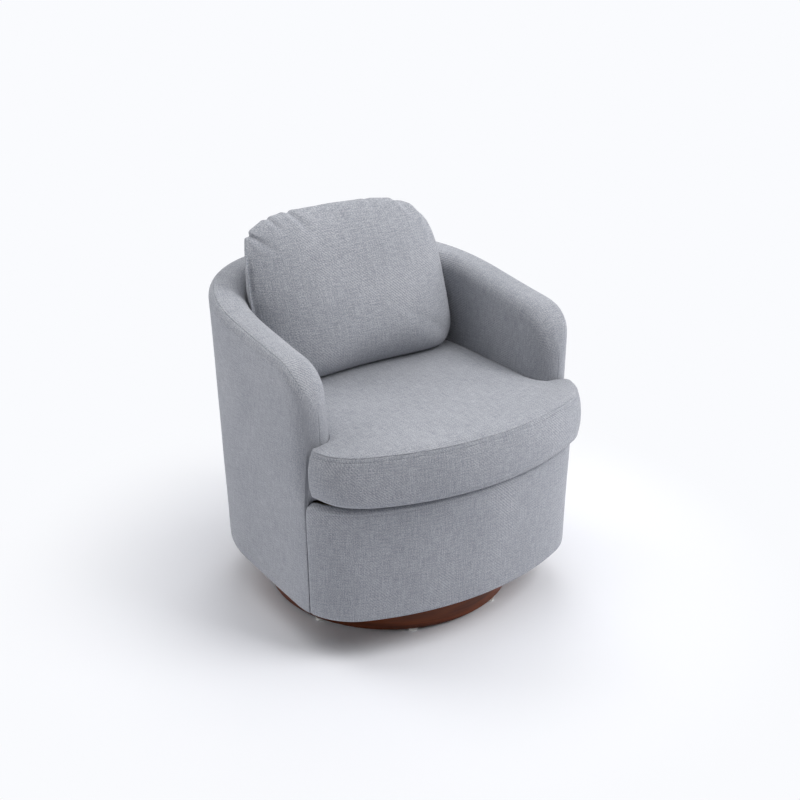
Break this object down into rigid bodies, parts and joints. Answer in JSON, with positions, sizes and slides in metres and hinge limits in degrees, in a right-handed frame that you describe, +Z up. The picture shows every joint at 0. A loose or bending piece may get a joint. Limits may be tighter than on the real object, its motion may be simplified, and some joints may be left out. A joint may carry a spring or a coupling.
{
  "type": "swivel barrel chair",
  "caption": "Upholstered barrel chair with a padded tub, loose T-shaped seat cushion and back pillow, turning on a round wooden plinth.",
  "frame": {"origin": "floor level on the swivel axis, the middle of the round plinth", "axes": "+Z up along the swivel axis; the chair faces -Y; +X is to the left of someone sitting in it"},
  "size_m": [0.6802, 0.7346, 0.8022],
  "materials": {
    "woven_fabric": "matt heathered weave, light grey-blue",
    "walnut_veneer": "satin lacquer over veneered bent plywood",
    "birch_plywood": "bare, sanded",
    "fibreboard": "bare, smooth",
    "zinc_plated_steel": "zinc plated, satin",
    "spring_steel": "drawn wire, oiled",
    "bearing_steel": "polished balls",
    "white_nylon": "moulded, matt",
    "cage_nylon": "moulded, greased",
    "cushion_foam": "open-cell foam, cut faces",
    "pillow_ticking": "non-woven ticking over fibre fill",
    "needled_felt": "needled felt, charcoal",
    "dust_cloth": "non-woven cloth, black"
  },
  "bodies": {
    "plinth": {"base_drum": "walnut_veneer", "base_top_board": "birch_plywood", "base_glue_blocks": "birch_plywood", "glides": "white_nylon", "swivel_lower_plate": "zinc_plated_steel", "swivel_balls": "bearing_steel", "ball_cage": "cage_nylon", "lower_plate_screws": "zinc_plated_steel"},
    "chair": {"swivel_upper_plate": "zinc_plated_steel", "swivel_collar": "zinc_plated_steel", "upper_plate_bolts": "zinc_plated_steel", "upper_plate_nuts": "zinc_plated_steel", "bottom_board": "birch_plywood", "cross_braces": "birch_plywood", "lower_posts": "birch_plywood", "seat_frame": "birch_plywood", "seat_springs": "spring_steel", "spring_clips": "zinc_plated_steel", "deck_felt": "needled_felt", "upper_posts": "birch_plywood", "top_rail": "birch_plywood", "inner_liner_board": "fibreboard", "outer_panel": "woven_fabric", "inner_pad": "woven_fabric", "apron_pad": "woven_fabric", "apron_board": "fibreboard", "dust_cover": "dust_cloth"},
    "cushion": {"seat_cushion": "woven_fabric", "cushion_foam": "cushion_foam"},
    "pillow": {"back_pillow": "woven_fabric", "pillow_insert": "pillow_ticking"}
  },
  "joints": [
    {"name": "swivel", "type": "hinge", "parent": "plinth", "child": "chair", "pos_m": [0, 0, 0.088], "axis": [0, 0, 1], "continuous": true},
    {"name": "seat_cushion_lift", "type": "slide", "parent": "chair", "child": "cushion", "axis": [0, 0, 1], "range_m": [0, 0.345]},
    {"name": "back_pillow_lift", "type": "slide", "parent": "cushion", "child": "pillow", "axis": [0, 0, 1], "range_m": [0, 0.23]}
  ]
}
